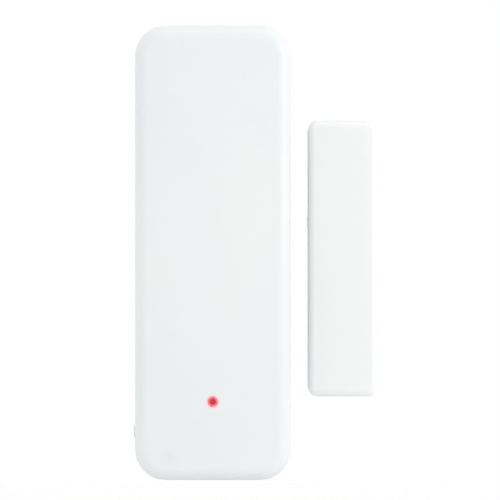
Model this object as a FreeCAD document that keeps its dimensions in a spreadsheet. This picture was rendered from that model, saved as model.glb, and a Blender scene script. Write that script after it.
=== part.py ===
"""Door contact sensor: a battery-powered sensor unit and its separate magnet unit.

Row frame: +Z up, +X to the right seen from the room, +Y into the wall or door frame.
The origin is the centre of the sensor's adhesive pad, on the wall. "Depth" below means
the distance from the wall towards the room, so depth = -Y. All sizes are millimetres.

The sensor's base plate stays on the wall. The sensor unit (shell, board, cells) snaps onto it
and pulls straight off for a battery change. The magnet unit sits beside it on the moving leaf.
"""

import FreeCAD
import Part
import os
import re
import Sketcher

VECTOR = FreeCAD.Vector
FULL_TURN = 360.0

# ---------------------------------------------------------------- driving dimensions

DIMENSIONS = {
    "sensor case": {
        "case_width": 24.3,
        "case_length": 71.0,
        "case_depth": 17.4,
        "case_corner": 4.8,
        "case_wall": 1.5,
        "case_front": 1.6,
        "case_crown": 0.8,
        "case_edge": 2.2,
        "pad_thick": 0.8,
        "plate_thick": 1.6,
        "seam_gap": 0.15,
        "rim_gap": 0.15,
        "rim_thick": 1.0,
        "rim_height": 1.9,
        "pad_width": 16.0,
        "pad_length": 40.0,
        "pad_corner": 2.0,
        "screw_hole": 3.4,
        "screw_sink": 1.0,
        "screw_offset": 25.0,
        "pry_width": 6.0,
        "pry_reach": 0.8,
        "pry_depth": 0.9,
    },
    "snap hooks": {
        "hook_offset": 3.8,
        "hook_width": 5.0,
        "hook_height": 5.6,
        "hook_nose_start": 3.8,
        "hook_nose_flat": 0.5,
        "hook_catch": 0.3,
        "hook_play": 0.2,
    },
    "board": {
        "board_thick": 1.0,
        "board_gap": 0.2,
        "board_room": 1.4,
        "board_screw_z": 6.0,
        "board_screw_x": 6.8,
        "board_screw_low": 32.1,
        "board_hole": 2.2,
        "boss_outer": 4.0,
        "boss_pilot": 1.7,
        "boss_pilot_extra": 0.9,
        "screw_head": 3.5,
        "screw_head_thick": 1.2,
        "screw_cross": 0.6,
        "screw_length": 3.1,
        "rest_width": 2.4,
        "rest_high": 26.0,
        "rest_low": -12.0,
        "weld": 0.2,
        "thread_depth": 0.2,
        "thread_step": 0.45,
    },
    "cells and contacts": {
        "cell_diameter": 10.5,
        "cell_length": 44.5,
        "cell_nub": 3.8,
        "cell_nub_height": 1.0,
        "cell_offset": 5.35,
        "cell_floor_gap": 0.2,
        "cell_edge": 0.6,
        "cell_end_recess": 0.25,
        "frame_top": 32.3,
        "frame_wall": 1.3,
        "frame_bottom": 18.5,
        "frame_width": 20.0,
        "frame_shoulder": 0.6,
        "frame_back": 4.6,
        "frame_foot": 1.2,
        "frame_pin": 1.1,
        "frame_pin_x": 8.2,
        "spine_foot": 5.6,
        "spine_step": 0.7,
        "spine_base": 3.6,
        "spine_top": 1.6,
        "spine_height": 2.2,
        "spine_screw_gap": 4.0,
        "contact_thick": 0.3,
        "contact_wide": 7.6,
        "contact_tall": 6.4,
        "contact_tab": 1.4,
        "contact_tab_reach": 0.8,
        "dimple_height": 0.4,
        "dimple_diameter": 2.8,
        "dimple_round": 0.3,
        "spring_wire": 0.6,
        "spring_base": 6.0,
        "spring_tip": 3.6,
        "spring_turns": 3.0,
    },
    "indicator and button": {
        "led_z": -23.2,
        "led_width": 1.6,
        "led_height": 0.8,
        "led_thick": 0.6,
        "pipe_diameter": 1.5,
        "pipe_flange": 2.8,
        "pipe_flange_thick": 0.5,
        "pipe_hole_gap": 0.05,
        "pipe_stand": 0.1,
        "button_z": -28.0,
        "button_depth": 11.65,
        "button_diameter": 2.1,
        "button_window": 2.3,
        "button_stand": 0.2,
        "button_flange": 3.2,
        "button_flange_thick": 0.5,
        "button_flange_gap": 0.1,
        "button_dome": 0.25,
        "switch_back": 9.4,
        "switch_wide": 3.6,
        "switch_long": 4.0,
        "switch_tall": 3.4,
        "switch_bore": 1.8,
        "switch_bore_deep": 2.2,
        "switch_plunger": 1.6,
        "switch_plunger_in": 1.5,
        "switch_frame_thick": 0.2,
    },
    "reed switch": {
        "reed_x": 9.1,
        "reed_z": 5.0,
        "reed_glass": 2.0,
        "reed_bore": 1.44,
        "reed_length": 13.0,
        "reed_seal": 1.5,
        "reed_wire": 0.5,
        "reed_blade": 1.0,
        "reed_blade_thick": 0.25,
        "reed_gap": 0.02,
        "reed_lap": 1.0,
        "reed_run": 0.6,
        "reed_slope": 1.2,
        "reed_pad_run": 3.0,
        "notch_width": 2.55,
        "notch_length": 16.6,
    },
    "radio module": {
        "module_x": 2.6,
        "module_z": -26.4,
        "module_wide": 14.6,
        "module_long": 12.0,
        "module_thick": 0.8,
        "module_notch": 0.7,
        "module_pitch": 1.5,
        "shield_wide": 9.4,
        "shield_long": 9.8,
        "shield_tall": 1.9,
        "shield_shift": 1.9,
        "shield_round": 0.4,
        "shield_sheet": 0.2,
        "radio_chip_size": 5.0,
        "radio_chip_thick": 0.85,
        "antenna_x": 8.1,
        "antenna_wide": 3.0,
        "antenna_trace": 0.45,
        "antenna_pitch": 1.0,
        "antenna_thick": 0.08,
    },
    "small components": {
        "capacitor_x": -7.9,
        "capacitor_z": -22.2,
        "capacitor_diameter": 4.0,
        "capacitor_height": 4.6,
        "capacitor_base": 4.2,
        "capacitor_base_thick": 0.8,
        "chip_size": 5.0,
        "chip_thick": 0.9,
        "chip_x": 2.4,
        "chip_z": -8.0,
        "crystal_wide": 3.2,
        "crystal_long": 2.5,
        "crystal_thick": 0.7,
        "crystal_x": -4.6,
        "inductor_size": 3.0,
        "inductor_thick": 1.1,
        "inductor_z": -14.5,
        "regulator_wide": 2.9,
        "regulator_long": 1.4,
        "regulator_thick": 1.0,
        "regulator_x": -5.2,
        "leg_wide": 0.4,
        "leg_thick": 0.2,
        "leg_long": 0.7,
        "leg_offset": 0.95,
        "passive_long": 1.6,
        "passive_wide": 0.8,
        "resistor_thick": 0.45,
        "small_capacitor_thick": 0.8,
        "passive_pitch": 2.2,
        "passive_start": -2.0,
    },
    "magnet unit": {
        "magnet_case_width": 10.9,
        "magnet_case_length": 43.3,
        "magnet_case_depth": 11.8,
        "magnet_corner": 1.5,
        "magnet_wall": 1.3,
        "magnet_crown": 0.2,
        "magnet_edge": 1.1,
        "magnet_plate": 1.4,
        "magnet_rim": 0.8,
        "magnet_rim_height": 1.8,
        "magnet_spacing": 2.8,
        "magnet_drop": 0.9,
        "magnet_pad_width": 8.0,
        "magnet_pad_length": 22.0,
        "magnet_screw_offset": 16.25,
        "magnet_screw_hole": 3.2,
        "magnet_screw_sink": 0.8,
        "bar_width": 6.2,
        "bar_length": 24.0,
        "bar_depth": 4.5,
        "bar_chamfer": 0.4,
        "bar_play": 0.1,
        "stop_thick": 1.0,
        "stop_height": 3.6,
        "press_rib": 1.0,
        "press_offset": 6.0,
        "mark_height": 0.15,
        "mark_long": 1.6,
        "mark_deep": 5.0,
        "mark_z": 4.8,
        "magnet_hook_width": 4.0,
        "magnet_hook_height": 3.8,
        "magnet_nose_start": 2.3,
        "magnet_nose_flat": 0.4,
        "magnet_catch": 0.25,
    },
}

doc = FreeCAD.newDocument("door_contact_sensor")
sheet = doc.addObject("Spreadsheet::Sheet", "dims")
ALIASES = set()
row = 1
for group, cells in DIMENSIONS.items():
    sheet.set(f"A{row}", group)
    row += 1
    for alias, size in cells.items():
        sheet.set(f"A{row}", alias)
        sheet.set(f"B{row}", str(size))
        sheet.setAlias(f"B{row}", alias)
        ALIASES.add(alias)
        row += 1

# Places worked out from the driving dimensions, by the same sheet.
DERIVED = {
    "plate_front": "pad_thick + plate_thick",
    "shell_back": "plate_front + seam_gap",
    "inner_front": "case_depth - case_front",
    "inner_wide": "case_width - 2 * case_wall",
    "inner_long": "case_length - 2 * case_wall",
    "inner_corner": "case_corner - case_wall",
    "rim_wide": "inner_wide - 2 * rim_gap",
    "rim_long": "inner_long - 2 * rim_gap",
    "rim_corner": "inner_corner - rim_gap",
    "board_front": "inner_front - board_room",
    "board_back": "board_front - board_thick",
    "cell_depth": "plate_front + cell_floor_gap + cell_diameter / 2",
    "top_plate_z": "frame_top - frame_wall - contact_thick",
    "low_plate_z": "contact_thick - frame_bottom",
    "left_cell_z": "top_plate_z - dimple_height - cell_length",
    "right_cell_z": "low_plate_z + dimple_height + cell_length",
    "spring_room": "left_cell_z - low_plate_z",
    "reed_depth": "board_back + board_thick / 2",
    "blade_root": "reed_length / 2 - reed_seal",
    "blade_long": "blade_root + reed_lap / 2",
    "module_back": "board_back - module_thick",
    "button_flange_out": "case_width / 2 - case_wall - button_flange_gap",
    "button_flange_in": "button_flange_out - button_flange_thick",
    "magnet_x": "case_width / 2 + magnet_spacing + magnet_case_width / 2",
    "magnet_plate_front": "pad_thick + magnet_plate",
    "magnet_cap_back": "magnet_plate_front + seam_gap",
    "magnet_inner_front": "magnet_case_depth - magnet_wall",
    "magnet_inner_wide": "magnet_case_width - 2 * magnet_wall",
    "magnet_inner_long": "magnet_case_length - 2 * magnet_wall",
    "magnet_rim_wide": "magnet_inner_wide - 2 * rim_gap",
    "magnet_rim_long": "magnet_inner_long - 2 * rim_gap",
    "bar_back": "magnet_plate_front + bar_play",
    "bar_front": "bar_back + bar_depth",
}
for alias, formula in DERIVED.items():
    sheet.set(f"A{row}", alias)
    sheet.set(f"B{row}", "=" + formula)
    sheet.setAlias(f"B{row}", alias)
    ALIASES.add(alias)
    row += 1
doc.recompute()

# ---------------------------------------------------------------- helpers

subparts = []


def formula_of(text):
    """The text with each alias written as the sheet's cell, as setExpression wants it."""

    def cell(match):
        word = match.group()
        return "dims." + word if word in ALIASES else word

    return re.sub(r"[a-z][a-z_]*", cell, text)


def number(text):
    """The value of a formula over the sheet's aliases."""
    value = sheet.evalExpression(formula_of(text))
    return float(getattr(value, "Value", value))


def bind(item, prop, text):
    """Drives a property from the sheet."""
    item.setExpression(prop, formula_of(text))


def new_body(label, kept=True):
    """A PartDesign body; a kept one is a sub-part that is written out under its label."""
    body = doc.addObject("PartDesign::Body", label)
    body.Label = label
    if kept:
        subparts.append(body)
    return body


def new_sketch(body, plane, offset="0"):
    """A sketch on one of the body's origin planes, moved along the plane's normal."""
    sketch = body.newObject("Sketcher::SketchObject", body.Name + "_sketch")
    support = next(f for f in body.Origin.OriginFeatures if f.Role == plane)
    sketch.AttachmentSupport = [(support, "")]
    sketch.MapMode = "FlatFace"
    bind(sketch, "AttachmentOffset.Base.z", offset)
    return sketch


def dimension(sketch, kind, where, text):
    """A dimensional constraint driven by a formula."""
    index = sketch.addConstraint(Sketcher.Constraint(kind, *where, number(text)))
    bind(sketch, f"Constraints[{index}]", text)


def place_point(sketch, geometry, point, x, y):
    """Fixes a point of the sketch at formulas x and y from the sketch's origin."""
    dimension(sketch, "DistanceX", (-1, 1, geometry, point), x)
    dimension(sketch, "DistanceY", (-1, 1, geometry, point), y)


def add_circle(sketch, diameter, x="0", y="0"):
    centre = VECTOR(number(x), number(y), 0)
    circle = sketch.addGeometry(Part.Circle(centre, VECTOR(0, 0, 1), number(diameter) / 2))
    dimension(sketch, "Diameter", (circle,), diameter)
    place_point(sketch, circle, 3, x, y)


def add_outline(sketch, corners):
    """A closed polygon whose corners are pairs of formulas."""
    points = [VECTOR(number(x), number(y), 0) for x, y in corners]
    count = len(points)
    following = points[1:] + points[:1]
    lines = [sketch.addGeometry(Part.LineSegment(*pair)) for pair in zip(points, following)]
    for i in range(count):
        sketch.addConstraint(Sketcher.Constraint("Coincident", lines[i], 2, lines[(i + 1) % count], 1))
        place_point(sketch, lines[i], 1, *corners[i])


def add_rectangle(sketch, wide, high, x="0", y="0"):
    left = f"({x}) - ({wide}) / 2"
    right = f"({x}) + ({wide}) / 2"
    low = f"({y}) - ({high}) / 2"
    top = f"({y}) + ({high}) / 2"
    add_outline(sketch, [(left, low), (right, low), (right, top), (left, top)])


def add_rounded_rectangle(sketch, wide, high, corner, x="0", y="0"):
    """Four lines joined by tangent arcs of one radius, centred on x, y."""
    half_w, half_h, r = number(wide) / 2, number(high) / 2, number(corner)
    cx, cy = number(x), number(y)
    centres = [(cx + half_w - r, cy + half_h - r), (cx - half_w + r, cy + half_h - r),
               (cx - half_w + r, cy - half_h + r), (cx + half_w - r, cy - half_h + r)]
    quarter = FreeCAD.Units.Quantity("90 deg").getValueAs("rad").Value
    arcs = []
    for i, (ax, ay) in enumerate(centres):
        circle = Part.Circle(VECTOR(ax, ay, 0), VECTOR(0, 0, 1), r)
        arcs.append(sketch.addGeometry(Part.ArcOfCircle(circle, i * quarter, (i + 1) * quarter)))
    lines = []
    for i in range(4):
        start = sketch.getPoint(arcs[i], 2)
        end = sketch.getPoint(arcs[(i + 1) % 4], 1)
        lines.append(sketch.addGeometry(Part.LineSegment(start, end)))
    for i in range(4):
        sketch.addConstraint(Sketcher.Constraint("Tangent", arcs[i], 2, lines[i], 1))
        sketch.addConstraint(Sketcher.Constraint("Tangent", lines[i], 2, arcs[(i + 1) % 4], 1))
        sketch.addConstraint(Sketcher.Constraint("Horizontal" if i % 2 == 0 else "Vertical", lines[i]))
    for arc in arcs[1:]:
        sketch.addConstraint(Sketcher.Constraint("Equal", arcs[0], arc))
    dimension(sketch, "Radius", (arcs[0],), corner)
    dimension(sketch, "DistanceX", (lines[1], 1, lines[3], 1), wide)
    dimension(sketch, "DistanceY", (lines[2], 1, lines[0], 1), high)
    place_point(sketch, arcs[0], 3,
                f"({x}) + ({wide}) / 2 - ({corner})", f"({y}) + ({high}) / 2 - ({corner})")


def pad(body, sketch, length, symmetric=False):
    feature = body.newObject("PartDesign::Pad", body.Name + "_pad")
    feature.Profile = sketch
    bind(feature, "Length", length)
    if symmetric:
        feature.SideType = "Symmetric"
    return feature


def pocket(body, sketch, length, symmetric=False):
    """Cuts along the sketch plane's normal, and fails loudly if nothing is removed."""
    doc.recompute()
    before = body.Shape.Volume
    feature = body.newObject("PartDesign::Pocket", body.Name + "_pocket")
    feature.Profile = sketch
    bind(feature, "Length", length)
    if symmetric:
        feature.SideType = "Symmetric"
    else:
        feature.Reversed = True
    doc.recompute()
    if body.Shape.Volume > before - 1e-4:
        raise RuntimeError(f"{body.Label}: a pocket removed nothing")
    return feature


def revolve(body, sketch):
    """A full turn of the profile about the sketch's vertical axis."""
    feature = body.newObject("PartDesign::Revolution", body.Name + "_revolution")
    feature.Profile = sketch
    feature.ReferenceAxis = (sketch, ["V_Axis"])
    feature.Angle = FULL_TURN
    return feature


def dress(body, kind, size, chosen):
    """A PartDesign Fillet or Chamfer on the body's edges that pass the test."""
    doc.recompute()
    tip = body.Tip
    names = [f"Edge{i + 1}" for i, edge in enumerate(tip.Shape.Edges) if chosen(edge)]
    if not names:
        raise RuntimeError(f"{body.Label}: no edge to dress")
    feature = body.newObject("PartDesign::" + kind, body.Name + "_" + kind.lower())
    feature.Base = (tip, names)
    bind(feature, "Radius" if kind == "Fillet" else "Size", size)
    doc.recompute()
    return feature


def at_depth(depth, tolerance=1e-3):
    """A test for edges that lie wholly at one depth from the wall."""
    level = -number(depth)
    return lambda e: max(abs(e.BoundBox.YMin - level), abs(e.BoundBox.YMax - level)) < tolerance


def in_front_of(depth):
    """A test for edges that lie wholly in front of a depth."""
    level = -number(depth)
    return lambda e: e.BoundBox.YMax < level


def move(item, x="0", y="0", z="0"):
    """Drives a sub-part's placement from the sheet."""
    bind(item, "Placement.Base.x", x)
    bind(item, "Placement.Base.y", y)
    bind(item, "Placement.Base.z", z)


def block(name, size, centre):
    """A Part box given by three side formulas and its centre."""
    box = doc.addObject("Part::Box", name)
    for prop, text in zip(("Length", "Width", "Height"), size):
        bind(box, prop, text)
    for axis, side, text in zip("xyz", size, centre):
        bind(box, f"Placement.Base.{axis}", f"({text}) - ({side}) / 2")
    return box


def collect(label, members, fused=False):
    """One sub-part made of several objects: separate solids, or one fused solid."""
    kind = "Part::MultiFuse" if fused else "Part::Compound"
    item = doc.addObject(kind, label)
    if fused:
        item.Shapes = members
        item.Refine = True
    else:
        item.Links = members
    item.Label = label
    subparts.append(item)
    return item


# ---------------------------------------------------------------- wall side of the sensor


def make_case_half(body, back, wide, long, corner, depth_text):
    """The rounded slab that a shell or plate starts from."""
    outline = new_sketch(body, "XZ_Plane", back)
    add_rounded_rectangle(outline, wide, long, corner)
    return pad(body, outline, depth_text)


def make_rim(body, back, wide, long, corner, thick, height):
    """The locating rim on a base plate."""
    ring = new_sketch(body, "XZ_Plane", back)
    add_rounded_rectangle(ring, wide, long, corner)
    add_rounded_rectangle(ring, f"{wide} - 2 * {thick}", f"{long} - 2 * {thick}",
                          f"{corner} - {thick} + 0.5")
    return pad(body, ring, height)


def cut_screw_holes(body, front, thick, hole, offset, sink):
    """Two countersunk holes on the plate's centre line."""
    holes = new_sketch(body, "XZ_Plane", "pad_thick")
    add_circle(holes, hole, "0", offset)
    add_circle(holes, hole, "0", f"-{offset}")
    pocket(body, holes, thick)
    inner_ring = at_depth(front)
    radius = number(hole) / 2
    dress(body, "Chamfer", sink, lambda e: inner_ring(e) and abs(e.BoundBox.XLength - 2 * radius) < 1e-2)


def make_base_plate():
    body = new_body("base_plate")
    make_case_half(body, "pad_thick", "case_width", "case_length", "case_corner", "plate_thick")
    dress(body, "Fillet", "plate_thick / 4", at_depth("pad_thick"))
    make_rim(body, "plate_front", "rim_wide", "rim_long", "rim_corner", "rim_thick", "rim_height")
    gaps = new_sketch(body, "XZ_Plane", "plate_front")
    for side in ("", "-"):
        for end in ("", "-"):
            add_rectangle(gaps, "hook_width + 2 * hook_play", "rim_thick * 3",
                          f"{side}hook_offset", f"{end}(rim_long / 2 - rim_thick / 2)")
    pocket(body, gaps, "rim_height")
    cut_screw_holes(body, "plate_front", "plate_thick", "screw_hole", "screw_offset", "screw_sink")
    pry = new_sketch(body, "XZ_Plane", "plate_front - pry_depth")
    add_rectangle(pry, "pry_width", "2 * pry_reach", "0", "-case_length / 2")
    pocket(body, pry, "pry_depth")
    return body


def make_pad(label, wide, long, corner):
    body = new_body(label)
    make_case_half(body, "0", wide, long, corner, "pad_thick")
    return body


def make_hook(label, x, wide, plate, edge, thick, height, nose_start, nose_flat, catch, end):
    """A cantilever snap hook: a leg on the plate's front face with a nose that catches the shell."""
    body = new_body(label, kept=False)
    profile = new_sketch(body, "YZ_Plane", f"({x}) - ({wide}) / 2")
    tip = f"{edge} - {thick} / 2"
    nose = f"{edge} + rim_gap + {catch}"
    corners = [("0", f"{edge} - {thick}"), ("0", edge), (nose_start, edge), (nose_start, nose),
               (f"{nose_start} + {nose_flat}", nose), (height, tip), (height, f"{edge} - {thick}")]
    add_outline(profile, [(f"-({plate}) - ({depth})", f"{end}({z})") for depth, z in corners])
    pad(body, profile, wide)
    return body


def make_base_hooks():
    hooks = []
    for i, (side, end) in enumerate((("", ""), ("-", ""), ("", "-"), ("-", "-"))):
        hooks.append(make_hook(f"base_hook_{i + 1}", f"{side}hook_offset", "hook_width", "plate_front",
                               "rim_long / 2", "rim_thick", "hook_height", "hook_nose_start",
                               "hook_nose_flat", "hook_catch", end))
    return collect("base_snap_hooks", hooks)


# ---------------------------------------------------------------- sensor shell


def crown_front(body, wide, long, depth, crown):
    """Trims the flat front to a shallow arch across the width, highest along its middle."""
    arch = new_sketch(body, "XY_Plane")
    half, top, rise = number(wide) / 2 + 1.0, -number(depth), number(crown)
    radius = (number(wide) ** 2 / 4 + rise**2) / (2 * rise)
    radius_text = f"(({wide}) ^ 2 / 4 + ({crown}) ^ 2) / (2 * {crown})"
    over = 4.0
    ends_y = top + radius - (radius**2 - half**2) ** 0.5
    curve = arch.addGeometry(Part.Arc(VECTOR(-half, ends_y, 0), VECTOR(0, top, 0), VECTOR(half, ends_y, 0)))
    tips = [arch.getPoint(curve, 1), arch.getPoint(curve, 2)]
    right = max(tips, key=lambda p: p.x)
    left = min(tips, key=lambda p: p.x)
    right_end = 2 if arch.getPoint(curve, 2).x > 0 else 1
    points = [right, VECTOR(right.x, top - over, 0), VECTOR(left.x, top - over, 0), left]
    lines = [arch.addGeometry(Part.LineSegment(points[i], points[i + 1])) for i in range(3)]
    arch.addConstraint(Sketcher.Constraint("Coincident", curve, right_end, lines[0], 1))
    arch.addConstraint(Sketcher.Constraint("Coincident", lines[0], 2, lines[1], 1))
    arch.addConstraint(Sketcher.Constraint("Coincident", lines[1], 2, lines[2], 1))
    arch.addConstraint(Sketcher.Constraint("Coincident", lines[2], 2, curve, 3 - right_end))
    arch.addConstraint(Sketcher.Constraint("Vertical", lines[0]))
    arch.addConstraint(Sketcher.Constraint("Vertical", lines[2]))
    arch.addConstraint(Sketcher.Constraint("Horizontal", lines[1]))
    dimension(arch, "Radius", (curve,), radius_text)
    place_point(arch, curve, 3, "0", f"{radius_text} - ({depth})")
    dimension(arch, "DistanceX", (-1, 1, lines[0], 1), f"({wide}) / 2 + 1")
    dimension(arch, "DistanceX", (-1, 1, lines[2], 1), f"-({wide}) / 2 - 1")
    dimension(arch, "DistanceY", (-1, 1, lines[0], 2), f"-({depth}) - {over}")
    return pocket(body, arch, f"{long} + 4", symmetric=True)


def make_front_shell():
    body = new_body("front_shell")
    make_case_half(body, "shell_back", "case_width", "case_length", "case_corner", "case_depth - shell_back")
    crown_front(body, "case_width", "case_length", "case_depth", "case_crown")
    dress(body, "Fillet", "case_edge", in_front_of("case_depth - case_crown - 0.2"))
    cavity = new_sketch(body, "XZ_Plane", "shell_back")
    add_rounded_rectangle(cavity, "inner_wide", "inner_long", "inner_corner")
    pocket(body, cavity, "inner_front - shell_back")
    bosses = new_sketch(body, "XZ_Plane", "board_front")
    add_circle(bosses, "boss_outer", "0", "board_screw_z")
    add_circle(bosses, "boss_outer", "-board_screw_x", "-board_screw_low")
    pad(body, bosses, "board_room + weld")
    rests = new_sketch(body, "XZ_Plane", "board_front")
    for side in ("", "-"):
        for end in ("rest_high", "rest_low"):
            add_rectangle(rests, "rest_width", "rest_width * 2",
                          f"{side}(inner_wide / 2 - rest_width / 2 + 0.1)", end)
    pad(body, rests, "board_room + weld")
    pilots = new_sketch(body, "XZ_Plane", "board_front")
    add_circle(pilots, "boss_pilot", "0", "board_screw_z")
    add_circle(pilots, "boss_pilot", "-board_screw_x", "-board_screw_low")
    pocket(body, pilots, "board_room + boss_pilot_extra")
    light = new_sketch(body, "XZ_Plane", "inner_front - 1")
    add_circle(light, "pipe_diameter + 2 * pipe_hole_gap", "0", "led_z")
    pocket(body, light, "case_front + 2")
    window = new_sketch(body, "YZ_Plane", "-case_width / 2 - 1")
    add_circle(window, "button_window", "-button_depth", "button_z")
    pocket(body, window, "case_wall + 2")
    catches = new_sketch(body, "XZ_Plane", "plate_front + hook_nose_start - hook_play")
    for side in ("", "-"):
        for end in ("", "-"):
            add_rectangle(catches, "hook_width + 2 * hook_play", "2 * (hook_catch + hook_play)",
                          f"{side}hook_offset", f"{end}(inner_long / 2)")
    pocket(body, catches, "hook_nose_flat + 1.1")
    return body


# ---------------------------------------------------------------- indicator, button and switch


def make_light_pipe():
    body = new_body("light_pipe")
    profile = new_sketch(body, "XY_Plane")
    back = "inner_front - pipe_flange_thick"
    tip = "case_depth + pipe_stand - 0.15"
    add_outline(profile, [("0", f"-({back})"), ("pipe_flange / 2", f"-({back})"),
                          ("pipe_flange / 2", "-inner_front"), ("pipe_diameter / 2", "-inner_front"),
                          ("pipe_diameter / 2", f"-({tip}) + 0.25"),
                          ("pipe_diameter / 3", f"-({tip}) + 0.05"), ("0", f"-({tip})")])
    revolve(body, profile)
    move(body, z="led_z")
    return body


def make_status_led():
    base = block("led_base", ("led_width", "led_thick / 2", "led_height"),
                 ("0", "-board_front - led_thick / 4", "led_z"))
    lens = block("led_lens", ("led_width * 0.6", "led_thick / 2", "led_height * 0.9"),
                 ("0", "-board_front - led_thick * 3 / 4", "led_z"))
    return collect("status_led", [base, lens], fused=True)


def make_reset_button():
    """A round cap through the left wall, held in by its flange, with a domed outer end."""
    body = new_body("reset_button_cap")
    flange = new_sketch(body, "YZ_Plane", "-button_flange_out")
    add_circle(flange, "button_flange", "-button_depth", "button_z")
    pad(body, flange, "button_flange_thick")
    stem = new_sketch(body, "YZ_Plane", "-case_width / 2 - button_stand")
    add_circle(stem, "button_diameter", "-button_depth", "button_z")
    pad(body, stem, "case_width / 2 + button_stand - button_flange_out + 0.1")
    outer = -number("case_width / 2 + button_stand")
    dress(body, "Fillet", "button_dome", lambda e: e.BoundBox.XMax < outer + 1e-3)
    return body


def make_switch():
    """Side-push tactile switch on the back of the board: body, steel frame and plunger."""
    body = new_body("tact_switch_body")
    face = new_sketch(body, "YZ_Plane", "-switch_back")
    add_rectangle(face, "switch_tall", "switch_long", "-board_back + switch_tall / 2", "button_z")
    pad(body, face, "switch_wide")
    bore = new_sketch(body, "YZ_Plane", "-switch_back")
    add_circle(bore, "switch_bore", "-button_depth", "button_z")
    pocket(body, bore, "switch_bore_deep")
    plunger = new_body("tact_switch_plunger")
    rod = new_sketch(plunger, "YZ_Plane", "-button_flange_in")
    add_circle(rod, "switch_plunger", "-button_depth", "button_z")
    pad(plunger, rod, "button_flange_in - switch_back + switch_plunger_in")
    frame_x = "-switch_back + switch_wide / 2"
    top = block("switch_frame_top",
                ("switch_wide", "switch_frame_thick", "switch_long + 2 * switch_frame_thick"),
                (frame_x, "-board_back + switch_tall + switch_frame_thick / 2", "button_z"))
    legs = [block(f"switch_frame_leg_{i}", ("switch_wide / 2", "switch_tall", "switch_frame_thick"),
                  (frame_x, "-board_back + switch_tall / 2",
                   f"button_z {sign} (switch_long / 2 + switch_frame_thick / 2)"))
            for i, sign in enumerate("+-")]
    collect("tact_switch_frame", [top] + legs, fused=True)
    return body


# ---------------------------------------------------------------- board and battery frame


def make_main_board():
    body = new_body("main_board")
    make_case_half(body, "board_back", "inner_wide - 2 * board_gap", "inner_long - 2 * board_gap",
                   "inner_corner - board_gap", "board_thick")
    cuts = new_sketch(body, "XZ_Plane", "board_back")
    edge = "inner_wide / 2 - board_gap"
    add_rectangle(cuts, "2 * notch_width", "notch_length", edge, "reed_z")
    add_circle(cuts, "board_hole", "0", "board_screw_z")
    add_circle(cuts, "board_hole", "-board_screw_x", "-board_screw_low")
    for side in ("", "-"):
        add_rectangle(cuts, "contact_tab + 0.2", "contact_thick + 0.2", f"{side}cell_offset",
                      "low_plate_z - contact_thick / 2")
        for end in ("frame_top - frame_wall / 2", "-frame_bottom - frame_wall / 2"):
            add_circle(cuts, "frame_pin + 0.1", f"{side}frame_pin_x", end)
    add_rectangle(cuts, "contact_tab + 0.2", "contact_thick + 0.2", "cell_offset",
                  "top_plate_z + contact_thick / 2")
    pocket(body, cuts, "board_thick")
    return body


def make_board_screws():
    """Two pan-head self-tapping screws with cross recesses; the thread is a row of ridges."""
    screws = []
    for i, (x, z) in enumerate((("0", "board_screw_z"), ("-board_screw_x", "-board_screw_low"))):
        body = new_body(f"board_screw_{i + 1}", kept=False)
        profile = new_sketch(body, "XY_Plane")
        head = "board_back - screw_head_thick"
        ridge, root = "boss_pilot / 2", "boss_pilot / 2 - thread_depth"
        corners = [("0", f"-({head})"), ("screw_head * 0.36", f"-({head})"),
                   ("screw_head / 2", f"-({head}) - 0.45"), ("screw_head / 2", "-board_back"),
                   (root, "-board_back")]
        ridges = 6
        for turn in range(ridges):
            corners.append((root, f"-board_back - 0.1 - thread_step * {turn}"))
            corners.append((ridge, f"-board_back - 0.1 - thread_step * {turn + 0.5}"))
        corners.append((root, f"-board_back - 0.1 - thread_step * {ridges}"))
        corners.append(("0", "-board_back - screw_length"))
        add_outline(profile, corners)
        revolve(body, profile)
        cross = new_sketch(body, "XZ_Plane", head)
        arm, slot = "screw_head * 0.3", "0.25"
        star = [(f"-{slot}", f"-{arm}"), (slot, f"-{arm}"), (slot, f"-{slot}"), (arm, f"-{slot}"),
                (arm, slot), (slot, slot), (slot, arm), (f"-{slot}", arm),
                (f"-{slot}", slot), (f"-{arm}", slot), (f"-{arm}", f"-{slot}"), (f"-{slot}", f"-{slot}")]
        add_outline(cross, star)
        pocket(body, cross, "screw_cross")
        move(body, x=x, z=z)
        screws.append(body)
    return collect("board_screws", screws)


def make_battery_frame():
    """Two end walls that carry the contacts, joined by a spine in the valley between the cells."""
    body = new_body("battery_frame")
    ends = ("frame_top - frame_wall / 2", "-frame_bottom - frame_wall / 2")
    spine = new_sketch(body, "XY_Plane", "-frame_bottom - frame_wall / 2")
    add_outline(spine, [("-spine_foot / 2", "-board_back"), ("spine_foot / 2", "-board_back"),
                        ("spine_foot / 2", "-board_back + spine_step"),
                        ("spine_base / 2", "-board_back + spine_step"),
                        ("spine_top / 2", "-board_back + spine_height"),
                        ("-spine_top / 2", "-board_back + spine_height"),
                        ("-spine_base / 2", "-board_back + spine_step"),
                        ("-spine_foot / 2", "-board_back + spine_step")])
    pad(body, spine, "frame_top + frame_bottom")
    walls = new_sketch(body, "XZ_Plane", "frame_back")
    feet = new_sketch(body, "XZ_Plane", "board_back - frame_foot")
    pins = new_sketch(body, "XZ_Plane", "board_back - 0.2")
    for end in ends:
        add_rectangle(walls, "frame_width - 2 * frame_shoulder", "frame_wall", "0", end)
        add_rectangle(feet, "frame_width", "frame_wall", "0", end)
        for side in ("", "-"):
            add_circle(pins, "frame_pin", f"{side}frame_pin_x", end)
    pad(body, walls, "board_back - frame_back")
    pad(body, feet, "frame_foot")
    pad(body, pins, "board_thick + 0.5")
    room = new_sketch(body, "XZ_Plane", "board_back - spine_height - 0.5")
    add_circle(room, "spine_screw_gap", "0", "board_screw_z")
    pocket(body, room, "spine_height + 0.5")
    return body


# ---------------------------------------------------------------- cells and contacts


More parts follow.
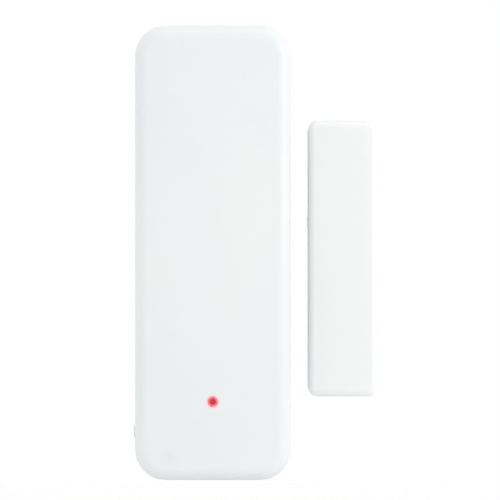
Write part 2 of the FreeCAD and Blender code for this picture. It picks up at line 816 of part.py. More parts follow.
def make_cell(label, x, base_z, upright):
    """A cylindrical cell standing on its negative end, with a recessed lip round each end."""
    body = new_body(label)
    profile = new_sketch(body, "XZ_Plane")
    rim, lip = "cell_diameter / 2", "cell_diameter / 2 - cell_edge"
    shoulder = "cell_length - cell_nub_height"
    add_outline(profile, [("0", "0"), (f"{lip} - 0.6", "0"), (f"{lip} - 0.4", "cell_end_recess"),
                          (lip, "cell_end_recess"), (f"{lip} + 0.3", "0.05"), (rim, "0.5"),
                          (rim, f"{shoulder} - 0.5"), (f"{lip} + 0.3", f"{shoulder} - 0.05"),
                          (lip, f"{shoulder} - cell_end_recess"),
                          ("cell_nub / 2 + 0.3", f"{shoulder} - cell_end_recess"),
                          ("cell_nub / 2", "cell_length - 0.4"),
                          ("cell_nub / 2 - 0.3", "cell_length"), ("0", "cell_length")])
    revolve(body, profile)
    if not upright:
        body.Placement = FreeCAD.Placement(VECTOR(0, 0, 0), FreeCAD.Rotation(VECTOR(0, 1, 0), 180))
    move(body, x=x, y="-cell_depth", z=base_z)
    return body


def make_plate_contact(label, x, wide, z, solder_sides, dimple_x, facing):
    """A sprung-steel plate across the end wall, with solder tabs through the board."""
    body = new_body(label)
    plate = new_sketch(body, "XY_Plane", z)
    add_rectangle(plate, wide, "contact_tall", x, "-cell_depth")
    pad(body, plate, "contact_thick")
    tabs = new_sketch(body, "XY_Plane", z)
    start = "cell_depth + contact_tall / 2 - 0.2"
    end = "board_front + contact_tab_reach"
    for tab_x in solder_sides:
        add_rectangle(tabs, "contact_tab", f"({end}) - ({start})", tab_x, f"-(({end}) + ({start})) / 2")
    pad(body, tabs, "contact_thick")
    if dimple_x:
        dimple = new_sketch(body, "XY_Plane", z if facing < 0 else f"({z}) + contact_thick")
        add_circle(dimple, "dimple_diameter", dimple_x, "-cell_depth")
        bump = pad(body, dimple, "dimple_height")
        bump.Reversed = facing < 0
        doc.recompute()
        top = number(f"({z}) - dimple_height" if facing < 0 else f"({z}) + contact_thick + dimple_height")
        dress(body, "Fillet", "dimple_round",
              lambda e: max(abs(e.BoundBox.ZMin - top), abs(e.BoundBox.ZMax - top)) < 1e-3)
    return body


def make_spring(label, x, z, upward):
    """A conical compression spring: its wide end on the contact plate, its narrow end on the cell."""
    body = new_body(label)
    wire = new_sketch(body, "XZ_Plane")
    start = "spring_wire / 2" if upward else "-spring_wire / 2"
    add_circle(wire, "spring_wire", "spring_base / 2 - spring_wire / 2", start)
    coil = body.newObject("PartDesign::AdditiveHelix", label + "_coil")
    coil.Profile = wire
    coil.ReferenceAxis = (wire, ["V_Axis"])
    coil.Mode = "height-turns-growth"
    coil.Reversed = not upward
    bind(coil, "Height", "spring_room - spring_wire")
    bind(coil, "Turns", "spring_turns")
    bind(coil, "Growth", "(spring_tip - spring_base) / 2 / spring_turns")
    move(body, x=x, y="-cell_depth", z=z)
    return body


def make_power():
    make_cell("battery_left", "-cell_offset", "left_cell_z", True)
    make_cell("battery_right", "cell_offset", "right_cell_z", False)
    low = "low_plate_z - contact_thick"
    make_plate_contact("link_contact", "0", "cell_offset * 2 + contact_wide", "top_plate_z",
                       ["cell_offset"], "-cell_offset", -1)
    make_plate_contact("negative_contact", "-cell_offset", "contact_wide", low, ["-cell_offset"], "", 1)
    make_plate_contact("positive_contact", "cell_offset", "contact_wide", low,
                       ["cell_offset"], "cell_offset", 1)
    make_spring("negative_spring", "-cell_offset", "low_plate_z", True)
    make_spring("link_spring", "cell_offset", "top_plate_z", False)


# ---------------------------------------------------------------- reed switch


def make_reed_glass():
    body = new_body("reed_switch_glass")
    profile = new_sketch(body, "XZ_Plane")
    outer, inner, wire = "reed_glass / 2", "reed_bore / 2", "reed_wire / 2"
    half, seal = "reed_length / 2", "reed_length / 2 - reed_seal"
    add_outline(profile, [(wire, f"-{half}"), (f"{outer} - 0.45", f"-{half}"), (outer, f"-{half} + 0.7"),
                          (outer, f"{half} - 0.7"), (f"{outer} - 0.45", half), (wire, half), (wire, seal),
                          (inner, seal), (inner, f"-({seal})"), (wire, f"-({seal})")])
    revolve(body, profile)
    move(body, x="reed_x", y="-reed_depth", z="reed_z")
    return body


def make_reed_lead(label, end, with_blade):
    """An axial lead that steps back onto the board; the lower one carries the fixed blade."""
    body = new_body(label)
    inside = f"{end}(reed_length / 2 - reed_seal)"
    run = f"{end}(reed_length / 2 + reed_run)"
    slope = f"{end}(reed_length / 2 + reed_run + reed_slope)"
    last = f"{end}(reed_length / 2 + reed_run + reed_slope + reed_pad_run)"
    lift = "board_thick / 2 + reed_wire / 2"
    path = new_sketch(body, "YZ_Plane")
    stops = [("0", inside), ("0", run), (lift, slope), (lift, last)]
    points = [VECTOR(number(y), number(z), 0) for y, z in stops]
    lines = [path.addGeometry(Part.LineSegment(points[i], points[i + 1])) for i in range(3)]
    for i in range(3):
        place_point(path, lines[i], 1, *stops[i])
    place_point(path, lines[2], 2, *stops[3])
    for i in range(2):
        path.addConstraint(Sketcher.Constraint("Coincident", lines[i], 2, lines[i + 1], 1))
    section = new_sketch(body, "XY_Plane", inside)
    add_circle(section, "reed_wire")
    pipe = body.newObject("PartDesign::AdditivePipe", label + "_pipe")
    pipe.Profile = section
    pipe.Spine = (path, ["Edge1", "Edge2", "Edge3"])
    pipe.Transition = "Round corner"
    if with_blade:
        blade = new_sketch(body, "XZ_Plane", "0")
        add_rectangle(blade, "reed_blade", "blade_long", "0", f"{end}(blade_root - blade_long / 2)")
        pad(body, blade, "reed_blade_thick")
    move(body, x="reed_x", y="-reed_depth", z="reed_z")
    return body


def make_reed_blade():
    """The moving blade: closed against the fixed one while the magnet is near."""
    body = new_body("reed_moving_blade")
    blade = new_sketch(body, "XZ_Plane", "-reed_gap - reed_blade_thick")
    add_rectangle(blade, "reed_blade", "blade_long", "0", "blade_root - blade_long / 2")
    pad(body, blade, "reed_blade_thick")
    move(body, x="reed_x", y="-reed_depth", z="reed_z")
    return body


# ---------------------------------------------------------------- electronics


def make_module():
    """The radio module: castellated board, shield can and a printed meander antenna."""
    board = new_body("radio_module_board")
    outline = new_sketch(board, "XZ_Plane", "module_back")
    add_rectangle(outline, "module_wide", "module_long", "module_x", "module_z")
    pad(board, outline, "module_thick")
    notches = new_sketch(board, "XZ_Plane", "module_back")
    for edge in "+-":
        for step in range(-3, 4):
            add_circle(notches, "module_notch", f"module_x - 1 + module_pitch * {step}",
                       f"module_z {edge} module_long / 2")
    pocket(board, notches, "module_thick")
    shield = new_body("radio_shield")
    lid = new_sketch(shield, "XZ_Plane", "module_back - shield_tall")
    add_rectangle(lid, "shield_wide", "shield_long", "module_x - shield_shift", "module_z")
    pad(shield, lid, "shield_tall")
    back = -number("module_back")
    dress(shield, "Fillet", "shield_round", lambda e: e.BoundBox.YMax > back + 0.1)
    hollow = new_sketch(shield, "XZ_Plane", "module_back - shield_tall + shield_sheet")
    add_rectangle(hollow, "shield_wide - 2 * shield_sheet", "shield_long - 2 * shield_sheet",
                  "module_x - shield_shift", "module_z")
    pocket(shield, hollow, "shield_tall - shield_sheet")
    chip = block("radio_chip_body", ("radio_chip_size", "radio_chip_thick", "radio_chip_size"),
                 ("module_x - shield_shift", "-module_back + radio_chip_thick / 2", "module_z"))
    collect("radio_chip", [chip])
    bars = []
    count = 8
    for i in range(count):
        z = f"module_z + antenna_pitch * {i - (count - 1) / 2}"
        y = "-module_back + antenna_thick / 2"
        bars.append(block(f"antenna_bar_{i}", ("antenna_wide", "antenna_thick", "antenna_trace"),
                          ("antenna_x", y, z)))
        if i < count - 1:
            side = "+" if i % 2 else "-"
            bars.append(block(f"antenna_turn_{i}",
                              ("antenna_trace", "antenna_thick", "antenna_pitch + antenna_trace"),
                              (f"antenna_x {side} (antenna_wide - antenna_trace) / 2", y,
                               f"({z}) + antenna_pitch / 2")))
    collect("radio_antenna", bars, fused=True)


def make_bulk_capacitor():
    """A surface-mount electrolytic: a square moulded base under an aluminium can."""
    base = new_body("capacitor_base")
    foot = new_sketch(base, "XZ_Plane", "board_back - capacitor_base_thick")
    add_rectangle(foot, "capacitor_base", "capacitor_base", "capacitor_x", "capacitor_z")
    pad(base, foot, "capacitor_base_thick")
    centre = number("capacitor_x")
    dress(base, "Chamfer", "0.6", lambda e: e.BoundBox.YLength > 0.5 and e.BoundBox.XMax < centre)
    can = new_body("capacitor_can")
    profile = new_sketch(can, "XY_Plane")
    foot_y = "-board_back + capacitor_base_thick"
    side = "capacitor_diameter / 2"
    top_y = f"{foot_y} + capacitor_height"
    add_outline(profile, [("0", foot_y), (side, foot_y), (side, f"{foot_y} + 0.6"),
                          (f"{side} - 0.2", f"{foot_y} + 0.8"), (side, f"{foot_y} + 1.0"),
                          (side, f"{top_y} - 0.3"), (f"{side} - 0.3", top_y), ("0", top_y)])
    revolve(can, profile)
    move(can, x="capacitor_x", z="capacitor_z")


def make_front_components():
    """The low parts between the board and the front wall."""

    def chip(name, wide, thick, long, x, z):
        return block(name, (wide, thick, long), (x, f"-board_front - ({thick}) / 2", z))

    singles = (("controller_chip", "chip_size", "chip_thick", "chip_size", "chip_x", "chip_z"),
               ("crystal", "crystal_wide", "crystal_thick", "crystal_long", "crystal_x", "chip_z"),
               ("inductor", "inductor_size", "inductor_thick", "inductor_size", "chip_x", "inductor_z"))
    for label, *sizes in singles:
        collect(label, [chip(label + "_block", *sizes)])
    legs = [chip("regulator_body", "regulator_wide", "regulator_thick", "regulator_long",
                 "regulator_x", "inductor_z")]
    for i, (x, z) in enumerate(((-1, -1), (1, -1), (0, 1))):
        legs.append(chip(f"regulator_leg_{i}", "leg_wide", "leg_thick", "leg_long",
                         f"regulator_x + {x} * leg_offset",
                         f"inductor_z + {z} * (regulator_long / 2 + 0.3)"))
    collect("regulator", legs, fused=True)
    resistors, capacitors = [], []
    for i in range(6):
        z = f"passive_start + passive_pitch * {i}"
        resistors.append(chip(f"resistor_{i}", "passive_long", "resistor_thick", "passive_wide",
                              "-chip_x * 2", z))
        capacitors.append(chip(f"capacitor_{i}", "passive_long", "small_capacitor_thick", "passive_wide",
                               "chip_x * 2", z))
    collect("resistors", resistors)
    collect("small_capacitors", capacitors)


# ---------------------------------------------------------------- magnet unit


def make_magnet_base():
    body = new_body("magnet_base_plate")
    make_case_half(body, "pad_thick", "magnet_case_width", "magnet_case_length", "magnet_corner",
                   "magnet_plate")
    dress(body, "Fillet", "magnet_plate / 4", at_depth("pad_thick"))
    ring = new_sketch(body, "XZ_Plane", "magnet_plate_front")
    add_rectangle(ring, "magnet_rim_wide", "magnet_rim_long")
    add_rectangle(ring, "magnet_rim_wide - 2 * magnet_rim", "magnet_rim_long - 2 * magnet_rim")
    pad(body, ring, "magnet_rim_height")
    gaps = new_sketch(body, "XZ_Plane", "magnet_plate_front")
    for end in ("", "-"):
        add_rectangle(gaps, "magnet_hook_width + 2 * hook_play", "magnet_rim * 3", "0",
                      f"{end}(magnet_rim_long / 2 - magnet_rim / 2)")
    pocket(body, gaps, "magnet_rim_height")
    stops = new_sketch(body, "XZ_Plane", "magnet_plate_front")
    for end in ("", "-"):
        add_rectangle(stops, "magnet_rim_wide - magnet_rim", "stop_thick", "0",
                      f"{end}(bar_length / 2 + bar_play + stop_thick / 2)")
    pad(body, stops, "stop_height")
    cut_screw_holes(body, "magnet_plate_front", "magnet_plate", "magnet_screw_hole",
                    "magnet_screw_offset", "magnet_screw_sink")
    move(body, x="magnet_x", z="-magnet_drop")


def make_bar_magnet():
    body = new_body("bar_magnet")
    outline = new_sketch(body, "XZ_Plane", "bar_back")
    add_rectangle(outline, "bar_width", "bar_length")
    pad(body, outline, "bar_depth")
    dress(body, "Chamfer", "bar_chamfer", lambda e: e.BoundBox.ZLength > number("bar_length") - 1e-3)
    move(body, x="magnet_x", z="-magnet_drop")


def make_magnet_cap():
    body = new_body("magnet_cap")
    make_case_half(body, "magnet_cap_back", "magnet_case_width", "magnet_case_length", "magnet_corner",
                   "magnet_case_depth - magnet_cap_back")
    crown_front(body, "magnet_case_width", "magnet_case_length", "magnet_case_depth", "magnet_crown")
    dress(body, "Fillet", "magnet_edge", in_front_of("magnet_case_depth - magnet_crown - 0.2"))
    cavity = new_sketch(body, "XZ_Plane", "magnet_cap_back")
    add_rectangle(cavity, "magnet_inner_wide", "magnet_inner_long")
    pocket(body, cavity, "magnet_inner_front - magnet_cap_back")
    ribs = new_sketch(body, "XZ_Plane", "bar_front + bar_play")
    for end in ("", "-"):
        add_rectangle(ribs, "magnet_inner_wide + 0.4", "press_rib", "0", f"{end}press_offset")
    pad(body, ribs, "magnet_inner_front - bar_front - bar_play + 0.1")
    catches = new_sketch(body, "XZ_Plane", "magnet_plate_front + magnet_nose_start - hook_play")
    for end in ("", "-"):
        add_rectangle(catches, "magnet_hook_width + 2 * hook_play", "2 * (magnet_catch + hook_play)", "0",
                      f"{end}(magnet_inner_long / 2)")
    pocket(body, catches, "magnet_nose_flat + 0.9")
    mark = new_sketch(body, "YZ_Plane", "-magnet_case_width / 2 - mark_height")
    add_rectangle(mark, "mark_deep", "mark_long",
                  "-(magnet_case_depth - magnet_edge - 0.3 - mark_deep / 2)", "mark_z + magnet_drop")
    pad(body, mark, "mark_height + weld")
    move(body, x="magnet_x", z="-magnet_drop")


def make_magnet_unit():
    make_magnet_base()
    foam = make_pad("magnet_adhesive_pad", "magnet_pad_width", "magnet_pad_length", "pad_corner")
    move(foam, x="magnet_x", z="-magnet_drop")
    make_bar_magnet()
    make_magnet_cap()
    hooks = []
    for i, end in enumerate(("", "-")):
        hook = make_hook(f"magnet_hook_{i + 1}", "0", "magnet_hook_width", "magnet_plate_front",
                         "magnet_rim_long / 2", "magnet_rim", "magnet_hook_height",
                         "magnet_nose_start", "magnet_nose_flat", "magnet_catch", end)
        move(hook, x="magnet_x", z="-magnet_drop")
        hooks.append(hook)
    collect("magnet_snap_hooks", hooks)


# ---------------------------------------------------------------- the whole object

make_base_plate()
make_pad("adhesive_pad", "pad_width", "pad_length", "pad_corner")
make_base_hooks()
make_front_shell()
make_light_pipe()
make_status_led()
make_reset_button()
make_switch()
make_main_board()
make_board_screws()
make_battery_frame()
make_power()
make_reed_glass()
make_reed_lead("reed_lead_lower", "-", True)
make_reed_lead("reed_lead_upper", "", False)
make_reed_blade()
make_module()
make_bulk_capacitor()
make_front_components()
make_magnet_unit()

doc.recompute()
failed = [o.Label for o in doc.Objects if {"Invalid", "Error"} & set(o.State)]
if failed:
    raise RuntimeError(f"objects that failed to compute: {failed}")

os.makedirs("parts", exist_ok=True)
for item in subparts:
    if item.Shape.isNull() or not item.Shape.isValid() or not item.Shape.Solids:
        raise RuntimeError(f"{item.Label} has no valid solid")
    item.Shape.exportStep(os.path.join("parts", item.Label + ".step"))
    box = item.Shape.BoundBox
    print(f"{item.Label}: {len(item.Shape.Solids)} solid(s), {item.Shape.Volume:.2f} mm3, "
          f"x {box.XMin:.2f}..{box.XMax:.2f} y {box.YMin:.2f}..{box.YMax:.2f} "
          f"z {box.ZMin:.2f}..{box.ZMax:.2f}")
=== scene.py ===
"""Looks for the door contact sensor: materials, foam pads, solder joints, light and camera.

Everything is in metres in the row frame: +Z up, +X towards the magnet unit, +Y into the wall.
The CAD nodes keep their shapes, and the two foam pads stand in for their plain solids. Each
material reads object coordinates, which are the row frame's own, so marks such as the
indicator's glow sit where the frame's boxes say.
"""

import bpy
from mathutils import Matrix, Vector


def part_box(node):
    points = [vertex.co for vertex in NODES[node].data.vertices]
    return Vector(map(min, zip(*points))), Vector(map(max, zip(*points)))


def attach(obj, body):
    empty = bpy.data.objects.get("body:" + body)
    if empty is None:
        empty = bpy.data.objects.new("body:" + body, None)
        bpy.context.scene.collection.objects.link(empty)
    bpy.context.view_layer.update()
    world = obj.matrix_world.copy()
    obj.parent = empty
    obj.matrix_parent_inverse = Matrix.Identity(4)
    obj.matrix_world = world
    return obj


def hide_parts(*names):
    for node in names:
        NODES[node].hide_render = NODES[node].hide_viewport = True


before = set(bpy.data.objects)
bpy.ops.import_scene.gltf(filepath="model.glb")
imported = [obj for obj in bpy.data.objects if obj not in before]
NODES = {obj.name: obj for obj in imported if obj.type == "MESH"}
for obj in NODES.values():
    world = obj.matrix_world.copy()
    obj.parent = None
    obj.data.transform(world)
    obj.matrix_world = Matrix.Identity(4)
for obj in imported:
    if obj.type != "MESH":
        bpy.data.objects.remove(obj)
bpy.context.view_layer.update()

import math
import random

import bmesh
import bpy
from mathutils import Vector

MM = 0.001


def middle(node):
    """The centre of a CAD node's box."""
    low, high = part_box(node)
    return (Vector(low) + Vector(high)) / 2


LED = middle("light_pipe")

# ---------------------------------------------------------------- node helpers


class Shader:
    """A node material under construction, with short calls for the nodes used here."""

    def __init__(self, name):
        self.material = bpy.data.materials.new(name)
        self.material.use_nodes = True
        self.tree = self.material.node_tree
        self.bsdf = self.tree.nodes["Principled BSDF"]
        self.place = self.new("ShaderNodeTexCoord").outputs["Object"]

    def new(self, kind, **settings):
        node = self.tree.nodes.new(kind)
        for key, value in settings.items():
            setattr(node, key, value)
        return node

    def feed(self, socket, value):
        """Links an output, or sets a plain value."""
        if isinstance(value, bpy.types.NodeSocket):
            self.tree.links.new(value, socket)
        elif isinstance(value, (tuple, list)) and len(value) == 3 and socket.type == "RGBA":
            socket.default_value = (*value, 1.0)
        else:
            socket.default_value = value

    def set(self, **inputs):
        """Principled inputs by name, with underscores for spaces."""
        for key, value in inputs.items():
            self.feed(self.bsdf.inputs[key.replace("_", " ")], value)
        return self

    def maths(self, operation, a, b=0.0):
        node = self.new("ShaderNodeMath", operation=operation)
        self.feed(node.inputs[0], a)
        self.feed(node.inputs[1], b)
        return node.outputs[0]

    def axes(self, vector=None):
        node = self.new("ShaderNodeSeparateXYZ")
        self.feed(node.inputs[0], vector or self.place)
        return node.outputs

    def stretched(self, x, y, z):
        """Object coordinates scaled per axis, for grain that runs one way."""
        node = self.new("ShaderNodeMapping")
        self.feed(node.inputs["Vector"], self.place)
        node.inputs["Scale"].default_value = (x, y, z)
        return node.outputs[0]

    def noise(self, size, detail=2.0, rough=0.5, vector=None):
        """Noise whose features are about size metres across."""
        node = self.new("ShaderNodeTexNoise")
        self.feed(node.inputs["Vector"], vector or self.place)
        node.inputs["Scale"].default_value = 1.0 / size
        node.inputs["Detail"].default_value = detail
        node.inputs["Roughness"].default_value = rough
        return node.outputs["Fac"]

    def cells(self, size, feature="F1"):
        node = self.new("ShaderNodeTexVoronoi", feature=feature)
        self.feed(node.inputs["Vector"], self.place)
        node.inputs["Scale"].default_value = 1.0 / size
        return node.outputs["Distance"]

    def spread(self, value, low, high, to_low=0.0, to_high=1.0):
        """A smooth step from to_low at low to to_high at high."""
        node = self.new("ShaderNodeMapRange", interpolation_type="SMOOTHSTEP")
        self.feed(node.inputs["Value"], value)
        limits = {"From Min": low, "From Max": high, "To Min": to_low, "To Max": to_high}
        for key, number in limits.items():
            node.inputs[key].default_value = number
        return node.outputs[0]

    def blend(self, factor, a, b):
        node = self.new("ShaderNodeMix", data_type="RGBA")
        self.feed(node.inputs["Factor"], factor)
        self.feed(node.inputs[6], a)
        self.feed(node.inputs[7], b)
        return node.outputs[2]

    def bump(self, height, depth, strength=1.0, under=None):
        node = self.new("ShaderNodeBump")
        self.feed(node.inputs["Height"], height)
        node.inputs["Distance"].default_value = depth
        node.inputs["Strength"].default_value = strength
        if under:
            self.feed(node.inputs["Normal"], under)
        self.feed(self.bsdf.inputs["Normal"], node.outputs[0])
        return node.outputs[0]

    def radius_from(self, x, z):
        """Distance in the face plane from a point, in metres."""
        across = self.axes()
        dx = self.maths("SUBTRACT", across[0], x)
        dz = self.maths("SUBTRACT", across[2], z)
        return self.length_of(dx, dz)

    def length_of(self, a, b):
        """The length of the vector (a, b)."""
        squares = self.maths("ADD", self.maths("MULTIPLY", a, a), self.maths("MULTIPLY", b, b))
        return self.maths("SQRT", squares)

    def edge(self, amount=1.0):
        """1 on sharp outer edges, 0 on flat faces."""
        point = self.new("ShaderNodeNewGeometry").outputs["Pointiness"]
        return self.spread(point, 0.5, 0.56, 0.0, amount)


# ---------------------------------------------------------------- plastics

WHITE = (0.755, 0.765, 0.768)
WHITE_COOL = (0.735, 0.757, 0.765)
WHITE_WARM = (0.772, 0.770, 0.758)
GLOW_PINK = (0.88, 0.50, 0.56)
BLACK = (0.0, 0.0, 0.0)
# how far the light scatters in plastic, by colour channel
SCATTER = (1.0, 0.96, 0.92)


def moulded_white(name, tint=WHITE, cool=WHITE_COOL, rough=0.42):
    """White ABS with a fine spark-eroded texture, faint mottling and hand polish."""
    s = Shader(name)
    drift = s.noise(26 * MM, 3.0, 0.55)
    fine = s.noise(3.5 * MM, 4.0)
    colour = s.blend(s.spread(drift, 0.35, 0.65), cool, tint)
    colour = s.blend(s.spread(fine, 0.55, 0.8, 0.0, 0.25), colour, WHITE_WARM)
    polish = s.spread(s.noise(9 * MM, 4.0, 0.6), 0.3, 0.7, rough - 0.05, rough + 0.07)
    s.set(Base_Color=colour, Roughness=polish, Specular_IOR_Level=0.42, IOR=1.5)
    s.set(Subsurface_Weight=0.30, Subsurface_Scale=0.0018, Subsurface_Radius=SCATTER)
    grain = s.maths("ADD", s.noise(0.32 * MM, 2.0, 0.6), s.maths("MULTIPLY", s.cells(0.5 * MM), 0.5))
    s.bump(grain, 0.008 * MM, 0.55, s.bump(s.noise(7 * MM, 1.0), 0.03 * MM, 0.3))
    return s, colour


def shell_material():
    """The front shell: moulded white with the indicator's light soaking into the plastic."""
    s, colour = moulded_white("moulded_white_shell")
    away = s.radius_from(LED.x, LED.z)
    front = s.spread(s.axes()[1], -13.5 * MM, -15.0 * MM)
    near = s.spread(away, 1.45 * MM, 0.7 * MM)
    glow = s.maths("MULTIPLY", s.maths("MULTIPLY", near, near), front)
    s.set(Base_Color=s.blend(glow, colour, GLOW_PINK))
    s.set(Emission_Color=s.blend(glow, BLACK, (0.14, 0.0, 0.01)), Emission_Strength=1.0)
    return s.material


def base_material():
    """The base plates: the same plastic, smoother, with faint flow lines from the gate."""
    s, colour = moulded_white("moulded_white_base", (0.735, 0.742, 0.742), (0.715, 0.73, 0.735), 0.34)
    flow = s.noise(2.2 * MM, 3.0, 0.6, s.stretched(1.0, 1.0, 0.12))
    s.set(Base_Color=s.blend(s.spread(flow, 0.5, 0.75, 0.0, 0.35), colour, (0.69, 0.70, 0.70)))
    return s.material


def button_painted_shade_material():
    """The reset button: a slightly greyer white that is painted shade from the gap round it, polished
    where fingers and pins press it.
    """
    # the greyer tint is painted shade from the gap round the button
    s, _ = moulded_white("moulded_white_button_painted_shade", (0.60, 0.61, 0.615), (0.56, 0.58, 0.59), 0.3)
    worn = s.spread(s.axes()[0], -12.1 * MM, -12.35 * MM)
    s.set(Roughness=s.spread(worn, 0.0, 1.0, 0.38, 0.24))
    return s.material


def holder_material():
    """The cell holder: unpainted ABS with paler, scuffed edges."""
    s, colour = moulded_white("holder_plastic", (0.60, 0.595, 0.57), (0.55, 0.55, 0.53), 0.45)
    s.set(Base_Color=s.blend(s.edge(0.5), colour, (0.78, 0.78, 0.75)))
    return s.material


def foam_material():
    """Closed-cell foam tape: cut cells round its edge with painted shade in their pits, and a glossier
    skin of adhesive on its faces.
    """
    s = Shader("foam_tape")
    cell = s.cells(0.28 * MM)
    big = s.cells(0.7 * MM)
    film = s.noise(3.0 * MM, 4.0, 0.6)
    facing = s.maths("ABSOLUTE", s.axes(s.new("ShaderNodeNewGeometry").outputs["Normal"])[1])
    skin = s.spread(facing, 0.6, 0.9)
    # cell centres on the cut edge are darker: painted shade in the cell pits
    cut = s.blend(s.spread(cell, 0.1, 0.7), (0.44, 0.46, 0.47), (0.72, 0.73, 0.735))
    face = s.blend(s.spread(film, 0.3, 0.7), (0.62, 0.635, 0.64), (0.70, 0.71, 0.71))
    # cell centres on the faces are darker: painted shade in the pits under the film
    face = s.blend(s.spread(cell, 0.0, 0.5, 0.35, 0.0), face, (0.50, 0.52, 0.53))
    s.set(Base_Color=s.blend(skin, cut, face))
    s.set(Roughness=s.blend(skin, (0.9, 0.9, 0.9), (0.42, 0.42, 0.42)))
    s.set(Subsurface_Weight=0.15, Subsurface_Scale=0.0008, Subsurface_Radius=SCATTER)
    s.bump(s.maths("ADD", cell, s.maths("MULTIPLY", big, 0.6)), 0.05 * MM, 0.6)
    return s.material


def black_plastic(name, grain=0.18 * MM, rough=0.55, tint=(0.018, 0.018, 0.02)):
    """Moulded epoxy or nylon: near black, fine grained, with slightly grey edges."""
    s = Shader(name)
    speck = s.noise(grain, 3.0, 0.7)
    colour = s.blend(s.spread(speck, 0.45, 0.75), tint, tuple(2.4 * c for c in tint))
    colour = s.blend(s.edge(0.6), colour, (0.13, 0.13, 0.135))
    s.set(Base_Color=colour, Roughness=s.spread(s.noise(1.2 * MM), 0.3, 0.7, rough - 0.08, rough + 0.1))
    s.bump(speck, 0.01 * MM, 0.7)
    return s, colour


def chip_material(name, node, size):
    """A chip's black epoxy with its pin-one dimple near one corner."""
    s, colour = black_plastic(name)
    low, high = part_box(node)
    dot = s.radius_from(low[0] + 0.16 * size, high[2] - 0.16 * size)
    mark = s.spread(dot, 0.085 * size, 0.07 * size)
    s.set(Base_Color=s.blend(mark, colour, (0.10, 0.10, 0.105)))
    s.set(Roughness=s.spread(mark, 0.0, 1.0, 0.55, 0.3))
    return s.material


# ---------------------------------------------------------------- light pipe and LED


def pipe_material():
    """Clear acrylic pin lit from behind: a red core that fades to pink at its wall."""
    s = Shader("light_pipe_acrylic")
    away = s.radius_from(LED.x, LED.z)
    core = s.spread(away, 0.74 * MM, 0.40 * MM)
    flicker = s.noise(0.35 * MM, 2.0)
    red = s.blend(s.spread(flicker, 0.3, 0.7, 0.0, 0.3), (0.46, 0.012, 0.022), (0.56, 0.035, 0.045))
    s.set(Base_Color=s.blend(core, (0.93, 0.44, 0.50), red))
    s.set(Emission_Color=s.blend(core, (0.14, 0.02, 0.03), (0.10, 0.004, 0.006)), Emission_Strength=1.0)
    s.set(Roughness=s.spread(flicker, 0.3, 0.7, 0.14, 0.26), IOR=1.49, Specular_IOR_Level=0.35)
    s.bump(s.noise(0.25 * MM), 0.006 * MM, 0.5)
    return s.material


def led_material():
    """The LED: a white ceramic base under a red-lit lens."""
    s = Shader("indicator_led")
    depth = s.axes()[1]
    lens = s.spread(depth, -14.68 * MM, -14.72 * MM)
    s.set(Base_Color=s.blend(lens, (0.74, 0.73, 0.70), (0.85, 0.05, 0.05)))
    s.set(Emission_Color=s.blend(lens, BLACK, (1.0, 0.06, 0.05)), Emission_Strength=1.2)
    s.set(Roughness=s.spread(s.noise(0.2 * MM), 0.3, 0.7, 0.25, 0.4))
    s.bump(s.noise(0.15 * MM), 0.005 * MM, 0.5)
    return s.material


# ---------------------------------------------------------------- metals


def metal(name, tint, dark, rough=0.28, run=(1.0, 1.0, 0.08), scratch=0.12 * MM):
    """A plated or drawn metal: fine lines along its length, dulled patches and bright edges."""
    s = Shader(name)
    lines = s.noise(scratch, 3.0, 0.65, s.stretched(*run))
    patch = s.noise(1.8 * MM, 4.0, 0.6)
    colour = s.blend(s.spread(patch, 0.4, 0.75), tint, dark)
    colour = s.blend(s.edge(0.5), colour, tuple(min(1.0, 1.15 * c) for c in tint))
    s.set(Base_Color=colour, Metallic=1.0)
    dull = s.spread(patch, 0.3, 0.7, rough - 0.06, rough + 0.1)
    s.set(Roughness=s.maths("ADD", dull, s.spread(lines, 0.3, 0.7, 0.0, 0.1)))
    s.bump(lines, 0.006 * MM, 0.6)
    return s, colour


